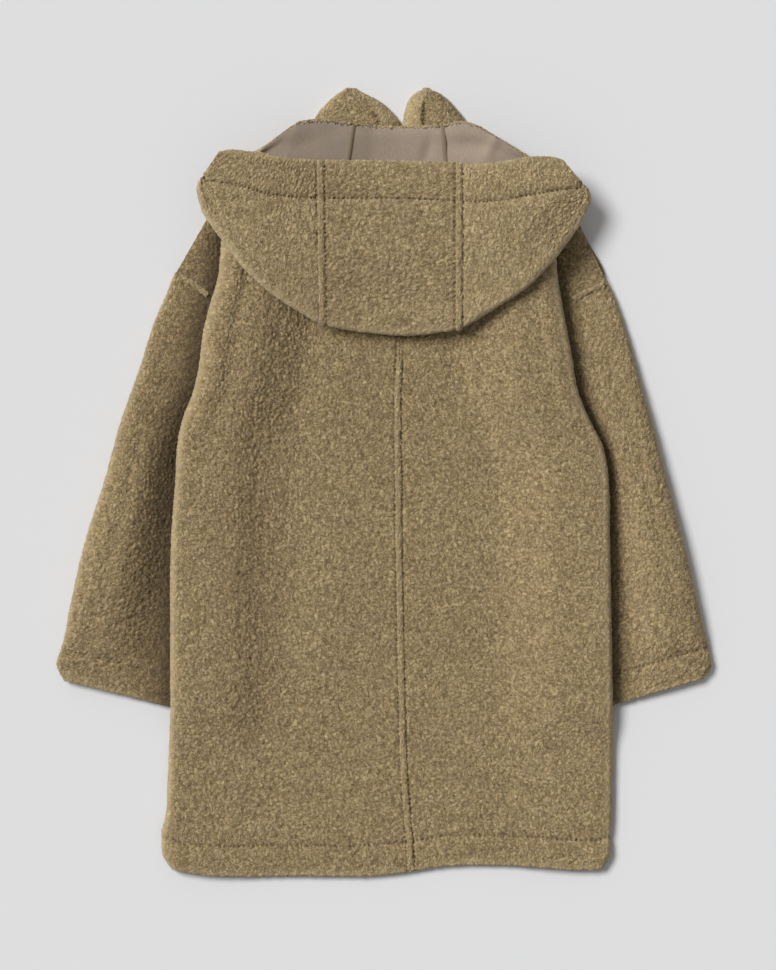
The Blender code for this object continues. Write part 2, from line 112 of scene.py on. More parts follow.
WALL = 5.5  # thickness of the bonded cloth with its pile
HALF = WALL / 2
SEAM_GAP = 0.35  # clearance between two pieces that are sewn together
RIM_DEPTH = 42.0  # from the hood's rim to its stitching
GROOVE = 1.8  # depth of the stitched groove there
ROLL_RADIUS = 5.0  # of the middle surface where the back rolls over at the side
ROLL_EXTRA = 1.8  # added to it where the cloth turns right back beneath itself
SIDE_SPAN = 125.0  # how far in from its fold the back rises over the sleeve beneath

# The back, a row for each level: the seam's x, the x of each side fold, the height of the middle
# surface at the centre and near each side, the turn of the side roll in degrees, and how far the
# cloth runs back beneath the roll.
BACK_COLUMNS = ("y", "seam", "left", "right", "mid_z", "left_z", "right_z", "turn", "tuck")
BACK_ROWS = (
    (352, 21, -105, 150, 13.6, 13.6, 13.6, 60, 1),
    (320, 21, -150, 186, 13.6, 17, 17, 75, 1.5),
    (300, 21, -174, 196, 13.2, 25, 25, 150, 10),
    (282, 21, -188, 199, 12.8, 31, 31, 178, 24),
    (264, 21, -190, 200, 12.2, 31.5, 31.5, 178, 28),
    (235, 20, -193, 202, 11.6, 31.5, 31.5, 178, 30),
    (205, 20, -202, 207, 10.5, 31.5, 31.5, 178, 30),
    (172, 19, -210, 213, 10, 32.5, 32, 178, 28),
    (140, 18, -214, 219, 10, 33, 32, 178, 22),
    (105, 16, -221, 225, 10, 32.5, 31.5, 176, 14),
    (68, 16, -235, 240, 10, 31.5, 31, 150, 4),
    (40, 16, -240, 254, 10, 30.5, 29.5, 115, 2),
    (0, 17, -242, 261, 10, 30, 29, 90, 1),
    (-50, 17, -246, 262, 10, 30, 29, 90, 1),
    (-110, 18, -248, 263, 10, 30, 29, 90, 1),
    (-170, 19, -248, 264, 10, 30, 28.5, 90, 1),
    (-225, 20, -248, 265, 10, 29, 27.5, 90, 1),
    (-268, 21, -248, 266, 10, 26, 25.7, 90, 1),
    (-304, 22, -250, 266, 10, 16.5, 16.5, 90, 3),
    (-350, 24, -252, 266, 10, 14, 14, 90, 3),
    (-400, 28, -256, 265, 10, 14, 14, 90, 3),
    (-411, 29, -259, 264, 10, 14, 14, 90, 3),
    (-418, 30, -259, 264, 8.9, 12.6, 12.6, 90, 2),
    (-425, 30, -259, 264, 10, 14, 14, 90, 3),
    (-440, 31, -257, 263, 10, 14, 14, 90, 3),
    (-451, 31, -247, 256, 9.6, 13, 13, 70, 1.5),
)
HEM_LEVEL = -451.0
HEM_FADE = 190.0  # how far above the hem its waver dies away
HEM_COLUMNS = ("x", "y")
HEM_LINE = (
    (-259, -446), (-232, -454), (-191, -458), (-102, -457), (-42, -458), (14, -455),
    (72, -445), (130, -444), (188, -448), (241, -451), (266, -446),
)

# Each sleeve, a row for each crossing line from its outer edge to its inner edge, which lies under
# the body: the outer point, the inner point and the height of the upper layer's middle surface.
SLEEVE_COLUMNS = ("outer_x", "outer_y", "inner_x", "inner_y", "top_z", "inner_z")
SLEEVE_LEFT = (
    (-246, 243, -190, 76, 10.4, 9.6),
    (-255, 218, -198, 59, 12, 9.6),
    (-267, 189, -205, 40, 15, 9.6),
    (-285, 130, -211, 14, 20, 9.6),
    (-305, 72, -214, -8, 25, 9.6),
    (-325, 1, -216, -50, 28, 9.6),
    (-347, -68, -219, -108, 29, 9.6),
    (-365, -145, -224, -168, 26, 9.6),
    (-374, -188, -229, -224, 17.5, 9.6),
    (-376, -194, -230, -230, 14.4, 9.5),
    (-378, -200, -231, -236, 15.2, 9.6),
    (-381, -214, -232, -251, 12.8, 9.5),
    (-373, -230, -233, -264, 11.9, 9.4),
)
SLEEVE_RIGHT = (
    (264, 230, 204, 86, 10.4, 9.6),
    (274, 206, 216, 66, 11.8, 9.6),
    (284, 172, 227, 44, 14.4, 9.6),
    (299, 115, 234, 16, 18.5, 9.6),
    (315, 56, 236, -14, 22.5, 9.6),
    (332, -8, 237, -54, 25, 9.6),
    (350, -75, 240, -108, 25.5, 9.6),
    (366, -145, 245, -168, 23, 9.6),
    (376, -186, 250, -222, 16.5, 9.6),
    (378, -193, 251, -229, 13.8, 9.5),
    (379, -200, 252, -236, 14.8, 9.6),
    (381, -216, 253, -251, 12.8, 9.5),
    (372, -228, 254, -262, 11.9, 9.4),
)
ARMHOLE_BULGE = {"left": 44.0, "right": 48.0}  # how far the armhole curves in from a straight line
SLEEVE_FAN = 0.36  # share of the sleeve over which that curve straightens
SLOPE_START = 0.26  # share of the way across where the upper layer starts to sink to the body
SLOPE_SPAN = 0.5
LOWER_ARCH = 0.35  # how far the sleeve's lower layer arches clear of the floor
SLEEVE_LOWER, SLEEVE_EDGE, SLEEVE_UPPER = 4, 7, 16  # points of a ring: beneath, outermost, far above

# The part of the back between its fold and the armhole, which lies lower than the fold: lines
# from the armhole's curve up to a line under the hood, from the outer edge inwards.
SHOULDER_TOP = {"left": ((-198, 318), (-184, 300)), "right": ((218, 316), (206, 300))}
SHOULDER_COLUMNS = ("share", "z")
SHOULDER_ROWS = (
    (0.016, 9.2), (0.05, 10.8), (0.1, 11.2), (0.15, 11.2),
    (0.2, 11.0), (0.27, 10.4), (0.34, 9.8), (0.41, 9.6),
)

# The fronts beneath, a row for each level: centre edge, outer edges, and for each side the x where
# the cloth has risen over the sleeve's edge, and how high.
FRONT_COLUMNS = ("y", "centre", "left", "right", "left_rise", "right_rise", "lift")
FRONT_ROWS = (
    (378, 21, -60, 100, -50, 90, 0), (352, 21, -105, 150, -90, 130, 0),
    (318, 21, -185, 200, -150, 170, 0), (302, 21, -204, 222, -160, 180, 0),
    (270, 21, -224, 242, -160, 180, 0), (246, 21, -236, 255, -160, 180, 0),
    (238, 20, -234, 257, -160, 180, 0), (222, 20, -211.5, 239.5, -160, 180, 0),
    (205, 20, -194, 211.5, -160, 180, 0), (187, 19, -181.5, 194.7, -160, 175, 0),
    (160, 19, -173.5, 187, -160, 170, 0), (121, 18, -183, 199, -158, 170, 0),
    (100, 17, -187.4, 203.2, -160, 170, 3), (80, 17, -189, 202.4, -164, 180, 13),
    (60, 17, -203, 221, -174, 196, 13.4), (42, 17, -226, 240, -190, 214, 13.7),
    (26, 17, -235, 248, -200, 226, 13.7), (0, 17, -238, 255, -204, 228, 13.4),
    (-50, 17, -243, 259, -209, 229, 13), (-110, 18, -245, 260, -213, 232, 13),
    (-170, 19, -245, 261, -217, 238, 13), (-225, 20, -245, 262, -223, 244, 13),
    (-268, 21, -245, 263, -226, 247, 13), (-304, 22, -247, 263, -226, 247, 0),
    (-350, 24, -249, 263, -226, 247, 0), (-400, 28, -253, 262, -226, 247, 0),
    (-440, 31, -254, 260, -226, 247, 0), (-451, 31, -244, 253, -226, 247, 0),
)
RISE_SPAN = 26.0  # how far in plan the fronts take to rise over the sleeve's edge

# The hood, a row for each line that runs from the rim over the outer layer to the fold and back
# under to the neck: its points in plan, and the heights of the outer and the under layer.
HOOD_COLUMNS = ("at", "rim_x", "rim_y", "fold_x", "fold_y", "neck_x", "neck_y", "top_z", "base_z")
HOOD_ROWS = (
    (0.00, -191, 377, -214, 342, -168, 369, 50.5, 40.0),
    (0.04, -178, 380, -216, 330, -152, 375, 51.0, 40.0),
    (0.09, -160, 378, -209, 308, -136, 387, 51.0, 40.0),
    (0.15, -142, 376, -189, 280, -112, 406, 51.0, 40.0),
    (0.22, -124, 371.5, -162, 245, -98, 415, 50.0, 39.5),
    (0.30, -104, 369, -126, 212, -76, 419, 47.0, 35.0),
    (0.38, -73.5, 368, -71, 179, -35, 415, 42.5, 26.5),
    (0.45, -38, 368, -22, 171, -10, 412, 40.5, 20.8),
    (0.52, 8, 368, 30, 167, 22, 411, 40.5, 20.8),
    (0.60, 87, 365, 87, 174, 68, 413, 42.5, 27.0),
    (0.68, 112, 363, 126, 197, 90, 417, 47.0, 34.5),
    (0.76, 134, 365, 166, 223, 108, 411, 50.0, 39.5),
    (0.84, 160, 370, 198, 256, 126, 400, 51.0, 40.0),
    (0.91, 184, 372, 226, 295, 149, 386, 51.0, 40.0),
    (0.96, 197, 371, 239, 320, 166, 373, 51.0, 40.0),
    (1.00, 207, 368, 236, 333, 183, 365, 50.5, 40.0),
)
HOOD_SEAMS = (0.38, 0.60)  # where the two gusset seams run
HOOD_CLEAR = 0.0011  # half the gap there
HOOD_STITCH, HOOD_FOLD, HOOD_TURNED, HOOD_NECK = 4, 12, 13, 17  # points of a line of the hood
RIM_LIFT = 3.5  # how far the mouth's upper edge stands up
HOOD_GAP = 3.0  # clearance between the hood's two layers away from the mouth

# The rounded front ends above the neck, a row for each level.
TIP_COLUMNS = ("y", "left", "right", "height")
TIP_LEFT = (
    (378.35, -97, 18, 13), (400, -92, 18, 14), (418, -83, 18.5, 15), (430, -76, 9, 15),
    (441, -66, -3, 15), (449, -57, -17, 14), (455, -48, -30, 12),
)
TIP_RIGHT = (
    (378.35, 22, 109, 13), (400, 22, 104, 14), (418, 22, 96, 15), (434, 25, 84, 15),
    (447, 31, 71, 15), (453, 38, 62, 14), (455.4, 44, 54, 12),
)


def table(columns, rows):
    """The table's columns by name, as arrays."""
    values = np.array(rows, float)
    return {name: values[:, index] for index, name in enumerate(columns)}


def sleeve_rows(side):
    return table(SLEEVE_COLUMNS, SLEEVE_LEFT if side == "left" else SLEEVE_RIGHT)


def smooth(value):
    value = np.clip(value, 0.0, 1.0)
    return value * value * (3 - 2 * value)


def hem_waver(x, y):
    """How far the hem's own line departs from its level, dying away above it."""
    hem = table(HEM_COLUMNS, HEM_LINE)
    departure = np.interp(x, hem["x"], hem["y"]) - HEM_LEVEL
    return departure * smooth((HEM_LEVEL + HEM_FADE - y) / HEM_FADE)


def back_section(row, side, across):
    """One level of the back: the top layer from the seam outwards, the side roll and the tuck."""
    sign = -1.0 if side == "left" else 1.0
    start = row["seam"] + sign * (SEAM_GAP / 2)
    edge = row[side]
    side_z = row[side + "_z"]
    turn = math.radians(row["turn"])
    radius = ROLL_RADIUS + ROLL_EXTRA * smooth((row["turn"] - 90) / 80)
    reach = sign * edge - radius - HALF
    inside = sign * start
    points = []
    for share in across:
        x = inside + (reach - inside) * share
        lift = smooth((x - (reach - SIDE_SPAN)) / (0.68 * SIDE_SPAN))
        z = row["mid_z"] + (side_z - row["mid_z"]) * lift
        points.append((sign * x, row["y"], z))
    middle = side_z - radius
    for share in (0.25, 0.5, 0.75, 1.0):
        angle = turn * share
        x = reach + radius * math.sin(angle)
        points.append((sign * x, row["y"], middle + radius * math.cos(angle)))
    for share in (0.5, 1.0):
        x = reach + radius * math.sin(turn) + row["tuck"] * share * math.cos(turn)
        z = middle + radius * math.cos(turn) - row["tuck"] * share * math.sin(turn)
        points.append((sign * x, row["y"], z))
    return points


def armhole_offset(share, side):
    """The armhole's curve: round from its outer end, and running out before the sleeve's inner fold."""
    outer = np.sin(math.pi * np.clip(share, 0, 0.5)) ** 0.8
    return ARMHOLE_BULGE[side] * np.where(share < 0.5, outer, 1 - smooth((share - 0.5) / 0.5))


def sleeve_plan(rows, along, across, side):
    """A point of the sleeve in plan: along from armhole to cuff, across from outer to inner."""
    steps = np.linspace(0, 1, len(rows["outer_x"]))
    outer = np.array([np.interp(along, steps, rows["outer_x"]), np.interp(along, steps, rows["outer_y"])])
    inner = np.array([np.interp(along, steps, rows["inner_x"]), np.interp(along, steps, rows["inner_y"])])
    chord = inner - outer
    length = np.linalg.norm(chord)
    sign = 1.0 if side == "left" else -1.0
    normal = np.array([-chord[1], chord[0]]) / length * sign
    fade = 1 - smooth(along / SLEEVE_FAN)
    return outer + chord * across + normal * armhole_offset(across, side) * fade, length


def sleeve_ring(rows, along, side):
    """One ring of the flattened sleeve: the lower layer outwards, the edge, the upper layer back."""
    steps = np.linspace(0, 1, len(rows["outer_x"]))
    top_z = np.interp(along, steps, rows["top_z"])
    inner_z = np.interp(along, steps, rows["inner_z"])
    length = sleeve_plan(rows, along, 0.5, side)[1]
    radius = (top_z - HALF) / 2
    inner_radius = (inner_z - HALF) / 2
    start = (HALF + radius) / length
    end = 1 - (HALF + inner_radius) / length
    ring = []
    sway = 0.65 + 0.35 * math.sin(11.0 * along)
    for step in np.linspace(0, 1, 6):
        arch = LOWER_ARCH * sway * math.sin(math.pi * step)
        ring.append((end + (start - end) * step, HALF + arch))
    for angle in (45, 90, 135):
        turn = math.radians(angle)
        across = start - math.sin(turn) * radius / length
        ring.append((across, HALF + radius - radius * math.cos(turn)))
    for share in (0, 0.16, 0.3, 0.42, 0.53, 0.64, 0.76, 0.88, 1.0):
        z = top_z + (inner_z - top_z) * smooth((share - SLOPE_START) / SLOPE_SPAN)
        ring.append((start + (end - start) * share, z))
    for angle in (45, 90, 135):
        turn = math.radians(angle)
        across = end + math.sin(turn) * inner_radius / length
        ring.append((across, HALF + inner_radius + inner_radius * math.cos(turn)))
    points = []
    for across, z in ring:
        plan = sleeve_plan(rows, along, min(max(across, 0.0), 1.0), side)[0]
        points.append((plan[0], plan[1], z))
    return points


def hood_row(at):
    rows = table(HOOD_COLUMNS, HOOD_ROWS)
    return {name: float(np.interp(at, rows["at"], rows[name])) for name in rows}


def hood_line(at):
    """One line of the hood: rim, outer layer, fold, under layer and the rolled neck edge."""
    row = hood_row(at)
    rim = np.array([row["rim_x"], row["rim_y"]])
    fold = np.array([row["fold_x"], row["fold_y"]])
    neck = np.array([row["neck_x"], row["neck_y"]])
    down = (fold - rim) / np.linalg.norm(fold - rim)
    low = row["base_z"]
    near_fold = low + WALL + HOOD_GAP
    radius = (near_fold - low) / 2
    turn_at = fold - down * (HALF + radius)
    rim_z = row["top_z"] + RIM_LIFT
    points = []
    length = np.linalg.norm(turn_at - rim)
    hem = min(0.8, RIM_DEPTH / length)
    shares = [hem * part for part in (0, 0.3, 0.6, 0.85, 1.0, 1.15)]
    shares += [shares[-1] + (1 - shares[-1]) * part for part in (0.2, 0.4, 0.6, 0.8, 1.0)]
    for share in shares:
        plan = rim + (turn_at - rim) * share
        bulge = smooth((1 - share) / 0.55)
        z = near_fold + (rim_z - near_fold) * bulge - GROOVE * math.exp(-((share - hem) * length / 5) ** 2)
        points.append((plan[0], plan[1], z))
    middle = low + radius
    for angle in (45, 90, 135):
        turn = math.radians(angle)
        plan = turn_at + down * radius * math.sin(turn)
        points.append((plan[0], plan[1], middle + radius * math.cos(turn)))
    back = (neck - turn_at) / np.linalg.norm(neck - turn_at)
    neck_at = neck - back * HALF
    for share in (0, 0.2, 0.4, 0.6, 0.74, 0.86, 0.95, 1.0):
        plan = turn_at + (neck_at - turn_at) * share
        rise = 5.0 * smooth((share - 0.8) / 0.2)
        points.append((plan[0], plan[1], low + rise))
    return points


def back_grid(side):
    rows = table(BACK_COLUMNS, BACK_ROWS)
    across = np.linspace(0, 1, 9)
    grid = np.array([back_section({name: rows[name][index] for name in rows}, side, across)
                     for index in range(len(rows["y"]))])
    grid[..., 1] += hem_waver(grid[..., 0], grid[..., 1])
    return grid


def shoulder_grid(side):
    sleeve = sleeve_rows(side)
    rows = table(SHOULDER_COLUMNS, SHOULDER_ROWS)
    outer_top, inner_top = np.array(SHOULDER_TOP[side], float)
    grid = []
    for up in np.linspace(0, 1, 5):
        line = []
        for share, z in zip(rows["share"], rows["z"]):
            foot = sleeve_plan(sleeve, 0.0, share, side)[0]
            top = outer_top + (inner_top - outer_top) * share / rows["share"][-1]
            plan = foot + (top - foot) * up
            line.append((plan[0], plan[1], z))
        grid.append(line)
    return np.array(grid)


def front_grid(side):
    rows = table(FRONT_COLUMNS, FRONT_ROWS)
    sign = -1.0 if side == "left" else 1.0
    grid = []
    for index, y in enumerate(rows["y"]):
        start = sign * rows["centre"][index] + SEAM_GAP / 2
        end = sign * rows[side][index]
        risen = sign * rows[side + "_rise"][index]
        foot = risen - RISE_SPAN
        places = [start + (foot - start) * share for share in (0, 0.35, 0.7, 1.0)]
        places += [foot + RISE_SPAN * share for share in (0.25, 0.5, 0.75, 1.0)]
        places += [risen + (end - risen) * share for share in (0.5, 1.0)]
        lift = rows["lift"][index]
        grid.append([(sign * x, y, HALF + lift * smooth((x - foot) / RISE_SPAN)) for x in places])
    grid = np.array(grid)
    grid[..., 1] += hem_waver(grid[..., 0], grid[..., 1])
    return grid


def sleeve_grid(side):
    rows = sleeve_rows(side)
    steps = np.linspace(0, 1, len(rows["outer_x"]))
    stations = [0.004] + [step for step in steps if step > 0.004]
    return np.array([sleeve_ring(rows, along, side) for along in stations])


# ---- fine surfaces

def hermite(values, knots, at):
    """Smooth curves through values at knots, read at other places along the first axis."""
    slope = np.gradient(values, knots, axis=0)
    index = np.clip(np.searchsorted(knots, at) - 1, 0, len(knots) - 2)
    span = knots[index + 1] - knots[index]
    t = (at - knots[index]) / span
    shape = (-1,) + (1,) * (values.ndim - 1)
    t = t.reshape(shape)
    span = span.reshape(shape)
    start, end = values[index], values[index + 1]
    return ((2 * t**3 - 3 * t**2 + 1) * start + (t**3 - 2 * t**2 + t) * span * slope[index]
            + (3 * t**2 - 2 * t**3) * end + (t**3 - t**2) * span * slope[index + 1])


def lengths(grid, axis):
    """The mean distance run along one axis of the grid, a value for each row or column."""
    step = np.linalg.norm(np.diff(grid, axis=axis), axis=2).mean(axis=1 - axis)
    return np.concatenate([[0.0], np.cumsum(np.maximum(step, 0.05))])


def marks(knots, spans):
    """Places along the knots: each span ends at a knot, given by its index, and has its own pitch."""
    places = [knots[0]]
    for last, pitch in spans:
        end = knots[last]
        count = max(1, int(round((end - places[-1]) / pitch)))
        places += list(np.linspace(places[-1], end, count + 1)[1:])
    return np.array(places)


def refine(grid, row_spans, column_spans, wrap=False):
    """The same surface at a fine pitch, the distances run across it, and those of the coarse columns."""
    along = lengths(grid, 0)
    grid = hermite(grid, along, marks(along, row_spans))
    pad = 3 if wrap else 0
    wide = np.concatenate([grid[:, -pad:], grid, grid[:, : pad + 1]], axis=1) if wrap else grid
    across = lengths(wide, 1)
    knots = across[pad:len(across) - pad]
    places = marks(knots, column_spans)
    if wrap:
        places = places[:-1]
    return hermite(wide.transpose(1, 0, 2), across, places).transpose(1, 0, 2), places, knots


def unit_normals(grid, wrap=False):
    if wrap:
        wide = np.concatenate([grid[:, -1:], grid, grid[:, :1]], axis=1)
        across = wide[:, 2:] - wide[:, :-2]
    else:
        across = np.gradient(grid, axis=1)
    normal = np.cross(np.gradient(grid, axis=0), across)
    return normal / np.maximum(np.linalg.norm(normal, axis=2, keepdims=True), 1e-9)


def upward(grid):
    """The surface's normals, turned so that they point up at a place in its top layer."""
    normal = unit_normals(grid)
    return normal if normal[len(grid) // 2, TOP_COLUMN, 2] > 0 else -normal


# ---- pile

LATTICE = 64
SEEDS = np.random.default_rng(11).random((LATTICE, LATTICE, LATTICE, 4))


def near(distance, width):
    """1 at no distance, and fading out over about twice the width."""
    return np.exp(-(distance / width) ** 2)


def waves(points, pitch, seed):
    """Soft uneven noise from -1 to 1 at about the given pitch."""
    rng = np.random.default_rng(seed)
    total = np.zeros(points.shape[0])
    for _ in range(7):
        direction = rng.normal(size=3)
        direction *= (0.6 + 0.8 * rng.random()) / np.linalg.norm(direction)
        total += np.sin(points @ direction * (2 * math.pi / pitch) + rng.random() * 6.283)
    return total / 3.7


def curls(points, pitch):
    """The pile's relief from 0 in a crevice to 1 at a curl's tip, and a random value for each curl."""
    warp = CURL_WARP * pitch
    bent = points + warp * np.stack([waves(points, 1.7 * pitch, seed) for seed in (1, 2, 3)], axis=1)
    place = bent / pitch
    base = np.floor(place).astype(int)
    first = np.full(len(points), 9.0)
    second = np.full(len(points), 9.0)
    own = np.zeros(len(points))
    for step in itertools.product((-1, 0, 1), repeat=3):
        cell = base + step
        index = cell % LATTICE
        seed = SEEDS[index[:, 0], index[:, 1], index[:, 2]]
        gap = np.linalg.norm(cell + 0.1 + 0.8 * seed[:, :3] - place, axis=1)
        nearer = gap < first
        second = np.where(nearer, first, np.minimum(second, gap))
        own = np.where(nearer, seed[:, 3], own)
        first = np.where(nearer, gap, first)
    edge = np.clip((second - first) / CREVICE_WIDTH, 0, 1)
    dome = np.clip(1.12 - 1.15 * first, 0, 1)
    return np.clip(0.5 * edge ** 0.7 + 0.55 * dome, 0, 1), own


def pile_on(surface, normal, depth=PILE_DEPTH, pitch=CURL_PITCH, grain=(1.0, 1.0, 1.0), calm=0.0):
    """The surface with its curls raised, and each point's painted shading (shade in the crevices, light on
    the curl tops) and random value. The grain stretches the curls along an axis, and calm, from 0 to 1, is
    how far the pile lies smooth, and pale with painted light on folded edges."""
    shape = surface.shape[:2]
    flat = surface.reshape(-1, 3) / np.array(grain)
    large, own = curls(flat, pitch)
    small, _ = curls(flat + 31.7, pitch * 0.52)
    relief = ((1 - SMALL_CURLS) * large + SMALL_CURLS * small).reshape(shape)
    tone = relief * (1 - CALM_PAINTED_LIGHT * calm) + 0.92 * CALM_PAINTED_LIGHT * calm
    relief = relief * (1 - CALM_RELIEF * calm) + 0.62 * CALM_RELIEF * calm
    raised = surface + normal * ((relief - PILE_LEVEL) * depth)[..., None]
    return raised, tone, own.reshape(shape)


def stitched(surface, normal, distance, run, depth=2.0, dark=0.6):
    """A row of stitches pulled into the pile: the surface with its groove, and the painted shade in that
    groove.
    """
    pull = near(distance, STITCH_WIDTH)
    dash = 0.55 + 0.45 * np.cos(run * (2 * math.pi / STITCH))
    return surface - normal * (depth * pull * dash)[..., None], 1 - dark * pull * dash


def creases(surface, normal, places):
    """Slow dents and swells: where they lie, how long and wide, and how deep."""
    x, y = surface[..., 0], surface[..., 1]
    total = np.zeros(x.shape)
    for cx, cy, angle, length, width, depth in places:
        turn = math.radians(angle)
        along = (x - cx) * math.cos(turn) + (y - cy) * math.sin(turn)
        aside = -(x - cx) * math.sin(turn) + (y - cy) * math.cos(turn)
        total += depth * np.exp(-(along / length) ** 2 - (aside / width) ** 2)
    return surface + normal * total[..., None] * np.clip(normal[..., 2:3], 0, 1)


def fold_line(y, side):
    """How far out the back's side fold lies at each level."""
    rows = table(BACK_COLUMNS, BACK_ROWS)
    return np.interp(-y, -rows["y"], np.abs(rows[side]))


def painted_gutter_shade(surface, side):
    """How dark the painted shade is in the hollow beside the back's side fold: 1 is none at all."""
    away = np.clip(np.abs(surface[..., 0]) - fold_line(surface[..., 1], side), 0, None)
    depth, span = GUTTER_PAINTED_SHADE[side]
    return 1 - depth * np.exp(-(away / span) ** 1.4)


def edge_round(surface, normal, axis=0, at_end=True, backs=(3.0, 8.0)):
    """Adds rows past an edge of the pile side that round off to the reverse of the wall."""
    order = (0, 1, 2) if axis == 0 else (1, 0, 2)
    step = 1 if at_end else -1
    work = surface.transpose(order)[::step]
    norm = normal.transpose(order)[::step]
    last, up = work[-1], norm[-1]
    out = last - work[-2]
    out -= up * (out * up).sum(axis=1, keepdims=True)
    out /= np.maximum(np.linalg.norm(out, axis=1, keepdims=True), 1e-9)
    middle = last - up * HALF
    turns = [up * math.cos(angle) + out * math.sin(angle) for angle in np.radians(EDGE_TURNS)]
    rows = [middle + direction * HALF for direction in turns]
    rows += [middle - up * HALF - out * back for back in backs]
    work = np.concatenate([work, np.array(rows)])
    norm = np.concatenate([norm, np.array(turns + [-up] * len(backs))])
    return work[::step].transpose(order), norm[::step].transpose(order)


# ---- meshes

def grid_faces(rows, columns, wrap):
    row = np.arange(rows - 1)[:, None]
    column = np.arange(columns if wrap else columns - 1)[None, :]
    beside = (column + 1) % columns
    corners = [row * columns + column, row * columns + beside,
               (row + 1) * columns + beside, (row + 1) * columns + column]
    return np.stack(corners, axis=-1).reshape(-1, 4)


def caps(rows, columns):
    """Closes both ends of a flattened ring, whose columns run out above and back beneath."""
    low = np.arange(columns // 2 - 1)
    high = columns - 1 - low
    first = np.stack([low, high, high - 1, low + 1], axis=1)
    last = np.stack([low, low + 1, high - 1, high], axis=1) + (rows - 1) * columns
    return np.concatenate([first, last])


def make_piece(name, node_name, slot, materials, points, wrap=False, capped=False, flip=False,
               reverse_from=None, **channels):
    """A visible piece from a grid of points. It rides the coat's one body and stands for its node.

    The channels are the pile's painted shading, random value and calm, and faces past the column reverse_from
    show the second material.
    """
    rows, columns = points.shape[:2]
    faces = grid_faces(rows, columns, wrap)
    if capped:
        faces = np.concatenate([faces, caps(rows, columns)])
    if flip:
        faces = faces[:, ::-1]
    second = np.zeros(len(faces), bool)
    if reverse_from is not None:
        place = np.arange(len(faces))
        second = (place % columns > reverse_from) & (place < (rows - 1) * columns)
    mesh = bpy.data.meshes.new(name)
    mesh.vertices.add(rows * columns)
    mesh.vertices.foreach_set("co", (points * MM).ravel())
    mesh.loops.add(faces.size)
    mesh.loops.foreach_set("vertex_index", faces.ravel().astype(np.int32))
    mesh.polygons.add(len(faces))
    mesh.polygons.foreach_set("loop_start", np.arange(0, faces.size, 4, dtype=np.int32))
    mesh.polygons.foreach_set("material_index", second.astype(np.int32))
    mesh.polygons.foreach_set("use_smooth", np.ones(len(faces), bool))
    for material in materials:
        mesh.materials.append(material)
    mesh.update(calc_edges=True)
    colour = mesh.color_attributes.new("pile", "FLOAT_COLOR", "POINT")
    values = np.ones((rows * columns, 4), np.float32)
    for index, (channel, plain) in enumerate(PILE_CHANNELS):
        values[:, index] = np.broadcast_to(channels.get(channel, plain), (rows, columns)).ravel()
    colour.data.foreach_set("color", values.ravel())
    mesh.validate()
    piece = bpy.data.objects.new(name, mesh)
    bpy.context.scene.collection.objects.link(piece)
    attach(piece, "root")
    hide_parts(node_name)


# ---- materials

def feed(tree, socket, value):
    """Gives a socket another node's output, or a value of its own."""
    if isinstance(value, bpy.types.NodeSocket):
        tree.links.new(value, socket)
    else:
        socket.default_value = value


def node(tree, kind, **inputs):
    made = tree.nodes.new(kind)
    for name, value in inputs.items():
        feed(tree, made.inputs[name.replace("_", " ")], value)
    return made


def noise(tree, place, scale, detail, roughness, twist=0.0):
    made = node(tree, "ShaderNodeTexNoise", Vector=place, Scale=scale, Detail=detail, Roughness=roughness,
                Distortion=twist)
    return made.outputs["Fac"]


def bump(tree, **inputs):
    return node(tree, "ShaderNodeBump", **inputs).outputs["Normal"]


def maths(tree, operation, *values):
    made = tree.nodes.new("ShaderNodeMath")
    made.operation = operation
    for socket, value in zip(made.inputs, values):
        feed(tree, socket, value)
    return made.outputs["Value"]


def ramp(tree, source, stops):
    made = node(tree, "ShaderNodeValToRGB", Fac=source)
    elements = made.color_ramp.elements
    while len(elements) < len(stops):
        elements.new(0.5)
    for element, (place, colour) in zip(elements, stops):
        element.position = place
        element.color = colour
    return made.outputs["Color"]


def mix(tree, first, second, amount=1.0, blend="MULTIPLY"):
    made = tree.nodes.new("ShaderNodeMix")
    made.data_type = "RGBA"
    made.blend_type = blend
    for name, value in (("Factor", amount), ("A", first), ("B", second)):
        feed(tree, made.inputs[name], value)
    return made.outputs["Result"]


def grey(low, high):
    return ((0.0, (low, low, low, 1.0)), (1.0, (high, high, high, 1.0)))


def crevices(tree, place):
    """Thin winding lines between the curls: where either of two warped noises crosses its middle."""
    sizes = []
    for scale, twist in ((150.0, 0.8), (190.0, 0.6)):
        away = maths(tree, "SUBTRACT", noise(tree, place, scale, 1.0, 0.5, twist), 0.5)
        sizes.append(maths(tree, "ABSOLUTE", away))
    return maths(tree, "MINIMUM", *sizes)


def start_material(name):
    """A new material, its node tree and the place on the object."""
    made = bpy.data.materials.new(name)
    made.use_nodes = True
    return made, made.node_tree, made.node_tree.nodes.new("ShaderNodeTexCoord").outputs["Object"]


def finish_material(made, **inputs):
    shader = made.node_tree.nodes["Principled BSDF"]
    for name, value in inputs.items():
        feed(made.node_tree, shader.inputs[name.replace("_", " ")], value)
    return made


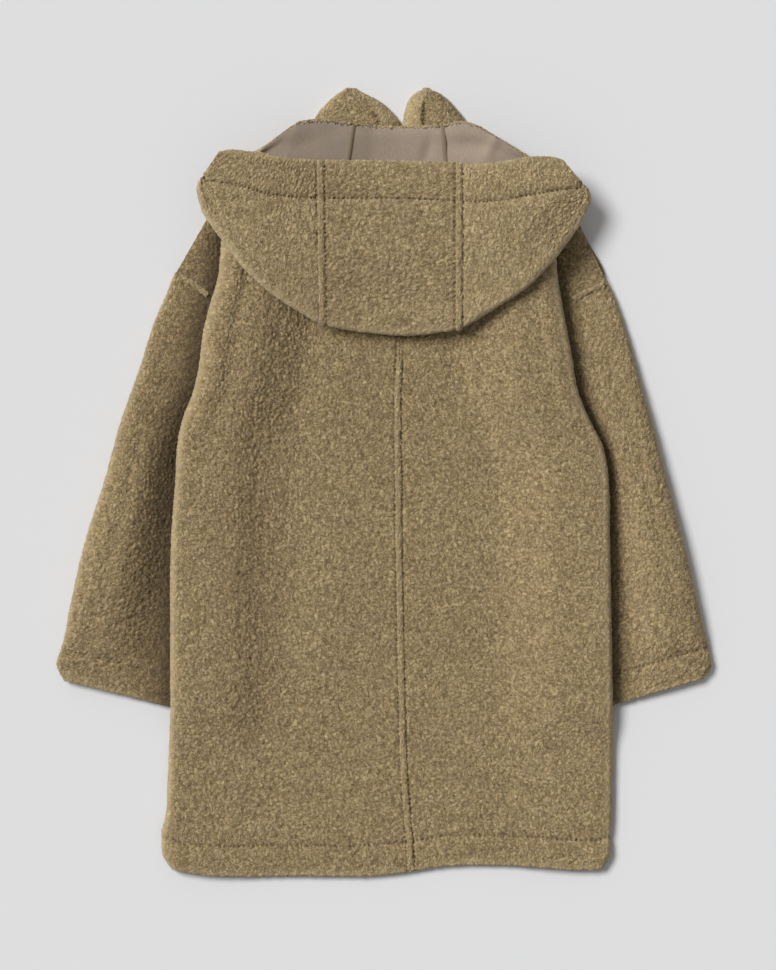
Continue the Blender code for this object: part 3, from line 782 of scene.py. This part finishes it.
def teddy_material(name, crevice, body, tip):
    """Curly pile: painted shade in the crevices, warm curls, painted light on the curl tips, fine fibres and
    a soft sheen.
    """
    made, tree, place = start_material(name)
    attribute = tree.nodes.new("ShaderNodeAttribute")
    attribute.attribute_name = "pile"
    split = node(tree, "ShaderNodeSeparateColor", Color=attribute.outputs["Color"])
    fibre = noise(tree, place, 900.0, 3.0, 0.6)
    patch = noise(tree, place, 9.0, 4.0, 0.55)
    # painted shade in the crevices and painted light on the curl tips, by the pile's relief
    colour = ramp(tree, split.outputs["Red"], ((0.0, crevice), (0.45, body), (1.0, tip)))
    for source, low, high in ((split.outputs["Green"], 0.84, 1.14), (fibre, 0.74, 1.26), (patch, 0.92, 1.08)):
        colour = mix(tree, colour, ramp(tree, source, grey(low, high)))
    # painted shade in thin lines between the curls, less where the pile lies smooth
    lines = crevices(tree, place)
    shade = ramp(tree, lines, CREVICE_SHADE)
    colour = mix(tree, colour, mix(tree, shade, WHITE, split.outputs["Blue"], "MIX"))
    deep = bump(tree, Height=ramp(tree, lines, CREVICE_DEPTH), Strength=0.6, Distance=0.0011)
    return finish_material(made, Base_Color=colour, Roughness=0.95, Specular_IOR_Level=0.15,
                           Sheen_Weight=0.25, Sheen_Roughness=0.6,
                           Normal=bump(tree, Height=fibre, Normal=deep, Strength=0.5, Distance=0.0006))


def suede_material(name, base):
    """The smooth brushed reverse: fine short nap, faint brushed streaks and cloudy tone."""
    made, tree, place = start_material(name)
    stretch = node(tree, "ShaderNodeMapping", Vector=place, Scale=(1.0, 0.35, 1.0)).outputs["Vector"]
    nap = noise(tree, stretch, 700.0, 4.0, 0.7)
    cloud = noise(tree, stretch, 38.0, 4.0, 0.6)
    low, high = (tuple(value * share for value in base) + (1.0,) for share in (0.70, 1.30))
    colour = mix(tree, ramp(tree, nap, ((0.0, low), (1.0, high))), ramp(tree, cloud, grey(0.88, 1.12)))
    return finish_material(made, Base_Color=colour, Roughness=0.9, Specular_IOR_Level=0.2, Sheen_Weight=0.2,
                           Normal=bump(tree, Height=nap, Strength=0.5, Distance=0.0005))


TEDDY = teddy_material("teddy_pile", CREVICE_SHADE_COLOUR, (0.365, 0.268, 0.132, 1), (0.52, 0.402, 0.222, 1))
SEAM = teddy_material("seam_pile", CREVICE_SHADE_COLOUR, (0.36, 0.263, 0.131, 1), (0.50, 0.385, 0.215, 1))
SUEDE = suede_material("suede_reverse", (0.360, 0.285, 0.218))
BINDING = suede_material("seam_binding", (0.235, 0.185, 0.120))


# ---- pieces

def make_back(side):
    sign = -1.0 if side == "left" else 1.0
    grid = refine(back_grid(side), ((HIDDEN_BACK_ROWS, HIDDEN_PITCH), (-1, FINE)), ((-1, FINE),))[0]
    normal = upward(grid)
    surface = creases(grid + normal * HALF, normal, CREASES)
    surface, normal = edge_round(surface, normal)
    x, y = surface[..., 0], surface[..., 1]
    rows = table(BACK_COLUMNS, BACK_ROWS)
    seam_x = np.interp(-y, -rows["y"], rows["seam"])
    on_top = normal[..., 2] > 0
    beside = np.where(on_top, sign * (x - seam_x) - SEAM_WIDTH / 2 - SEAM_CLEAR, FAR)
    # painted shade in the stitched groove beside the centre-back seam, darker on the left panel
    surface, dark = stitched(surface, normal, beside, y, dark=0.85 if side == "left" else 0.35)
    level = y - hem_waver(x, y)
    hem = np.where(on_top, level - (HEM_LEVEL + HEM_DEPTH), FAR)
    # painted shade in the hem's stitched groove
    surface, hem_dark = stitched(surface, normal, hem, x)
    # smooth pile, paler with painted light, along the side fold and the hem
    calm = np.maximum(0.75 * near(fold_line(y, side) - sign * x - 3.0, 6.0),
                      0.4 * near(level - HEM_LEVEL - 1.0, 4.0))
    surface, tone, own = pile_on(surface, normal, calm=calm)
    make_piece("back_{}_pile".format(side), "back_" + side, "teddy", [TEDDY], surface, flip=side == "left",
               tone=tone * dark * hem_dark, own=own, calm=calm)


def make_front(side):
    grid = refine(front_grid(side), ((-1, HIDDEN_PITCH),), ((-1, 5.0),))[0]
    normal = upward(grid)
    under = grid - normal * HALF
    under[..., 2] = np.where(under[..., 2] < 0.4, 0.0, under[..., 2])
    closed = np.concatenate([grid + normal * HALF, under[:, ::-1]], axis=1)
    make_piece("front_{}_cloth".format(side), "front_" + side, "teddy", [TEDDY], closed, wrap=True,
               capped=True, flip=side == "left")


def make_shoulder(side):
    grid = refine(shoulder_grid(side), ((-1, FINE),), ((-1, FINE),))[0]
    normal = upward(grid)
    surface, normal = edge_round(grid + normal * HALF, normal, at_end=False)
    surface, tone, own = pile_on(surface, normal)
    # painted shade in the hollow beside the side fold darkens the shoulder's pile
    make_piece("back_{}_shoulder_pile".format(side), "back_{}_shoulder".format(side), "teddy", [TEDDY],
               surface, flip=side == "right", tone=tone * painted_gutter_shade(surface, side), own=own)


def make_sleeve(side):
    """The flattened tube: fine above and round its outer edge, coarser where it lies hidden."""
    spans = ((SLEEVE_LOWER, 9.0), (SLEEVE_UPPER, SLEEVE_FINE), (-1, 3.0))
    grid, places, knots = refine(sleeve_grid(side), ((-1, SLEEVE_FINE),), spans, wrap=True)
    normal = unit_normals(grid, wrap=True)
    if ((grid - grid.mean(axis=1, keepdims=True)) * normal).sum() < 0:
        normal = -normal
    surface = creases(grid + normal * HALF, normal, CREASES)
    run = lengths(grid, 0)
    to_cuff = (run[-1] - run)[:, None]
    hem = np.where(normal[..., 2] > 0, np.abs(to_cuff - CUFF_DEPTH), FAR)
    # painted shade in the cuff's stitched groove
    surface, dark = stitched(surface, normal, hem, surface[..., 0])
    # smooth pile, paler with painted light, at the cuff and round the outer edge
    calm = np.maximum(0.4 * near(to_cuff - 1.0, 4.0),
                      0.5 * near(np.abs(places - knots[SLEEVE_EDGE]) - 3.0, 5.0))
    rows = len(surface)
    surface, normal = edge_round(surface, normal)
    surface, normal = edge_round(surface, normal, at_end=False)
    extra = (len(surface) - rows) // 2
    calm, dark = (np.pad(values, ((extra, extra), (0, 0)), mode="edge") for values in (calm, dark))
    surface, tone, own = pile_on(surface, normal, calm=calm)
    # painted shade: the stitched cuff groove and the hollow beside the side fold
    tone = tone * dark * painted_gutter_shade(surface, side)
    surface[..., 2] = np.maximum(surface[..., 2], 0.0)
    make_piece("sleeve_{}_pile".format(side), "sleeve_" + side, "teddy", [TEDDY], surface, wrap=True,
               flip=side == "left", tone=tone, own=own, calm=calm)


def make_hood(name, first, last, pitch, grain, pale):
    """A hood panel: pile outside, from the rim round the fold, and the smooth reverse inside."""
    stations = np.linspace(first + (HOOD_CLEAR if first > 0 else 0), last - (HOOD_CLEAR if last < 1 else 0),
                           13 if last - first > 0.3 else 8)
    coarse = np.array([hood_line(at) for at in stations])
    grid, places, knots = refine(coarse, ((-1, FINE),), ((HOOD_TURNED, FINE), (-1, 3.0)))
    normal = upward(grid)
    surface = grid + normal * HALF
    dark = 1.0
    for row, inside in ((0, first > 0), (-1, last < 1)):
        if inside:
            aside = np.linalg.norm(surface - surface[row][None], axis=2) - SEAM_WIDTH / 2 - SEAM_CLEAR
            # painted shade in the stitched groove beside each gusset seam, darker on the centre panel
            strong = 0.85 if name == "hood_centre" else 0.3
            surface, mark = stitched(surface, normal, aside, places, dark=strong)
            dark = dark * mark
    run = lengths(surface, 0)[:, None]
    # painted shade in the stitched groove behind the rim
    surface, mark = stitched(surface, normal, places - knots[HOOD_STITCH], run, depth=2.6, dark=0.8)
    # smooth pile, paler with painted light, at the fold and the rim
    calm = 0.7 * near(places - knots[HOOD_FOLD] + 2.0, 6.0) + 0.4 * near(places, 4.0)
    columns = surface.shape[1]
    outer, outward = edge_round(surface, normal, 1, False, backs=(0.8,))
    outer, outward = edge_round(outer, outward, 1, True, backs=(0.8,))
    count = outer.shape[1]
    extra = (count - columns) // 2
    calm, dark = (np.pad(values, ((0, 0), (extra, extra)), mode="edge")
                  for values in (np.tile(calm, (len(run), 1)), dark * mark))
    outer, tone, own = pile_on(outer, outward, pitch=pitch, grain=grain, calm=calm)
    inside = creases(grid - normal * (HALF - SUEDE_LIFT), -normal, INNER_CREASES)
    spread = np.linspace(0, inside.shape[1] - 1, count)
    low = np.minimum(spread.astype(int), inside.shape[1] - 2)
    share = (spread - low)[None, :, None]
    inside = inside[:, low] * (1 - share) + inside[:, low + 1] * share
    channels = {}
    # painted light: each panel's shading lifted by its own amount, with painted shade from its stitched
    # grooves
    for (channel, plain), values in zip(PILE_CHANNELS, ((tone + pale) * dark, own, calm)):
        channels[channel] = np.concatenate([values, np.full(values.shape, plain)], axis=1)
    make_piece(name + "_pile", name, "hood_cloth", [TEDDY, SUEDE],
               np.concatenate([outer, inside[:, ::-1]], axis=1), wrap=True, capped=True, flip=True,
               reverse_from=count - 1, **channels)


def make_tip(side, rows):
    """A rounded front end: a soft pad, with the edge that is turned back beside the opening."""
    rows = table(TIP_COLUMNS, rows)
    fold_x, fold_y = np.array(TIP_FOLDS[side]).T
    rings = []
    for y, left, right, height in zip(rows["y"], rows["left"], rows["right"], rows["height"]):
        rings.append([(left + (right - left) * x, y, height * z) for x, z in TIP_OUTLINE])
    grid = refine(np.array(rings), ((-1, FINE),), ((-1, FINE),))[0]
    normal = upward(grid)
    level = np.clip(normal[..., 2], 0, 1)
    past = (grid[..., 0] - np.interp(grid[..., 1], fold_y, fold_x)) * (1.0 if side == "left" else -1.0)
    below_top = smooth((fold_y[-1] - 4 - grid[..., 1]) / 26.0)
    step = np.where(past > 0, 0.8 * np.exp(-past / 16.0), -2.8 * np.exp(past / 8.0)) * below_top
    surface = grid + normal * (step * level)[..., None]
    # smooth pile, paler with painted light, on the turned-back strip and the steep sides
    calm = np.maximum(np.clip(past / 3.0, 0, 1) * 0.7, 0.8 * near(level, 0.55))
    surface, tone, own = pile_on(surface, normal, calm=calm)
    # painted shade in the crease beside the turned-back edge
    tone = tone * (1 - 0.6 * below_top * near(past + 2.0, 2.6))
    last = surface[-1]
    middle = last.mean(axis=0)
    ends = []
    for angle in np.radians(TIP_TURNS):
        ring = middle + (last - middle) * (0.45 + 0.55 * math.cos(angle))
        ring[:, 1] = last[:, 1] + 3.0 * math.sin(angle)
        ring[:, 2] = last[:, 2] * math.cos(angle)
        ends.append(ring)
    surface = np.concatenate([surface, np.array(ends)])
    surface[..., 2] = np.maximum(surface[..., 2], 0.0)
    tone, own, calm = (np.pad(values, ((0, len(ends)), (0, 0)), mode="edge") for values in (tone, own, calm))
    name = "front_tip_" + side
    # painted light: the tips' shading lifted a little all over
    make_piece(name + "_pile", name, "teddy", [TEDDY], surface, wrap=True, capped=True, tone=tone + 0.06,
               own=own, calm=calm)


def make_ridge(name, centre, normal, node_name, width=SEAM_WIDTH, height=1.7, bound=False):
    """A seam's rounded ridge, with the pile caught in it or bound with a smooth strip."""
    centre = np.asarray(centre, float)
    run = np.concatenate([[0.0], np.cumsum(np.linalg.norm(np.diff(centre, axis=0), axis=1))])
    places = np.linspace(0, run[-1], max(4, int(run[-1] / 1.2)))
    centre = hermite(centre, run, places)
    up = hermite(np.asarray(normal, float), run, places)
    up /= np.linalg.norm(up, axis=1, keepdims=True)
    side = np.cross(np.gradient(centre, axis=0), up)
    side /= np.linalg.norm(side, axis=1, keepdims=True)
    turns = np.linspace(-1.75, 1.75, 15)
    rings = [centre + side * (width / 2) * math.sin(turn) + up * (height * math.cos(turn) - 0.5)
             for turn in turns]
    surface = np.stack(rings, axis=1)
    if bound:
        make_piece(name, node_name, "suede", [BINDING], surface)
        return
    outward = np.stack([side * math.sin(turn) + up * math.cos(turn) for turn in turns], axis=1)
    # the ridge's pile smoother, and paler with painted light
    calm = np.full(surface.shape[:2], 0.3)
    surface, tone, own = pile_on(surface, outward, 2.6, calm=calm)
    make_piece(name, node_name, "seam", [SEAM], surface, tone=tone, own=own, calm=calm)


def make_seams():
    rows = table(BACK_COLUMNS, BACK_ROWS)
    keep = rows["y"] < SEAM_HIDDEN_ABOVE
    x, y = rows["seam"][keep], rows["y"][keep]
    line = np.stack([x, y + hem_waver(x, y), rows["mid_z"][keep] + HALF - 0.2], axis=1)
    make_ridge("centre_back_ridge", line, np.tile((0.0, 0.0, 1.0), (len(x), 1)), "centre_back_seam")
    for side, at in zip(SIDES, HOOD_SEAMS):
        line = np.array(hood_line(at))
        beside = np.array(hood_line(at + 0.0005)) - np.array(hood_line(at - 0.0005))
        normal = np.cross(beside, np.gradient(line, axis=0))
        normal /= -np.linalg.norm(normal, axis=1, keepdims=True)
        outer = slice(0, HOOD_TURNED)
        make_ridge("hood_ridge_" + side, (line + normal * (HALF - 0.3))[outer], normal[outer],
                   "hood_seam_" + side)
        inner = slice(HOOD_NECK, len(line))
        make_ridge("hood_inner_ridge_" + side, (line - normal * (HALF - 0.6))[inner], -normal[inner],
                   "hood_inner_seam_" + side, width=6.5, height=2.0, bound=True)
    for side in SIDES:
        points = [(*sleeve_plan(sleeve_rows(side), 0.002, share, side)[0], 13.6)
                  for share in np.linspace(0.03, 0.22, 7)]
        make_ridge("armhole_ridge_" + side, points, np.tile((0.0, 0.0, 1.0), (len(points), 1)),
                   "armhole_seam_" + side, width=7.5, height=2.6)


# ---- stage

def make_floor():
    mesh = bpy.data.meshes.new("floor")
    corners = [(x * FLOOR_SIZE, y * FLOOR_SIZE, FLOOR_LEVEL) for x, y in ((-1, -1), (1, -1), (1, 1), (-1, 1))]
    mesh.from_pydata(corners, [], [(0, 1, 2, 3)])
    floor = bpy.data.objects.new("floor", mesh)
    bpy.context.scene.collection.objects.link(floor)
    pale = bpy.data.materials.new("pale_floor")
    pale.use_nodes = True
    finish_material(pale, Base_Color=FLOOR_COLOUR, Roughness=1.0, Specular_IOR_Level=0.0)
    mesh.materials.append(pale)
    return floor


def make_lights(floor):
    """A sun for the coat and one for the floor, and a soft white surround for both."""
    on_floor = bpy.data.collections.new("on_floor")
    off_floor = bpy.data.collections.new("off_floor")
    for group in (on_floor, off_floor):
        group.objects.link(floor)
    off_floor.collection_objects[0].light_linking.link_state = "EXCLUDE"
    for name, direction, angle, strength, lights_floor in SUNS:
        lamp = bpy.data.lights.new(name, "SUN")
        lamp.angle = math.radians(angle)
        lamp.energy = strength
        holder = bpy.data.objects.new(name, lamp)
        holder.location = direction
        x, y, z = direction
        holder.rotation_euler = (math.atan2(math.hypot(x, y), z), 0.0, math.atan2(y, x) + math.pi / 2)
        holder.light_linking.receiver_collection = on_floor if lights_floor else off_floor
        bpy.context.scene.collection.objects.link(holder)
    world = bpy.data.worlds.new("studio")
    world.use_nodes = True
    background = world.node_tree.nodes["Background"]
    background.inputs["Color"].default_value = WHITE
    background.inputs["Strength"].default_value = WORLD_STRENGTH
    bpy.context.scene.world = world
    bpy.context.scene.view_settings.view_transform = "Standard"


def make_camera():
    camera = bpy.data.cameras.new("camera")
    holder = bpy.data.objects.new("camera", camera)
    camera.sensor_fit = "VERTICAL"
    camera.sensor_height = SENSOR
    camera.lens = SENSOR * (CAMERA_HEIGHT - FOCUS_LEVEL) / (PHOTO_SIZE[1] * PIXEL * MM)
    camera.clip_end = 50.0
    across = (PHOTO_SIZE[0] / 2 - PHOTO_CENTRE[0]) * PIXEL * MM
    down = (PHOTO_SIZE[1] / 2 - PHOTO_CENTRE[1]) * PIXEL * MM
    holder.location = (across, -down, CAMERA_HEIGHT)
    bpy.context.scene.collection.objects.link(holder)
    bpy.context.scene.camera = holder


def main():
    make_lights(make_floor())
    make_camera()
    for side in SIDES:
        make_front(side)
        make_sleeve(side)
        make_shoulder(side)
        make_back(side)
    # the last value lifts each hood panel's shading: painted light
    make_hood("hood_left", 0.0, HOOD_SEAMS[0], 3.9, (0.85, 1.3, 1.0), 0.10)
    make_hood("hood_centre", HOOD_SEAMS[0], HOOD_SEAMS[1], 4.9, (1.3, 0.9, 1.0), 0.06)
    make_hood("hood_right", HOOD_SEAMS[1], 1.0, 3.9, (0.85, 1.3, 1.0), 0.14)
    make_tip("left", TIP_LEFT)
    make_tip("right", TIP_RIGHT)
    make_seams()


main()
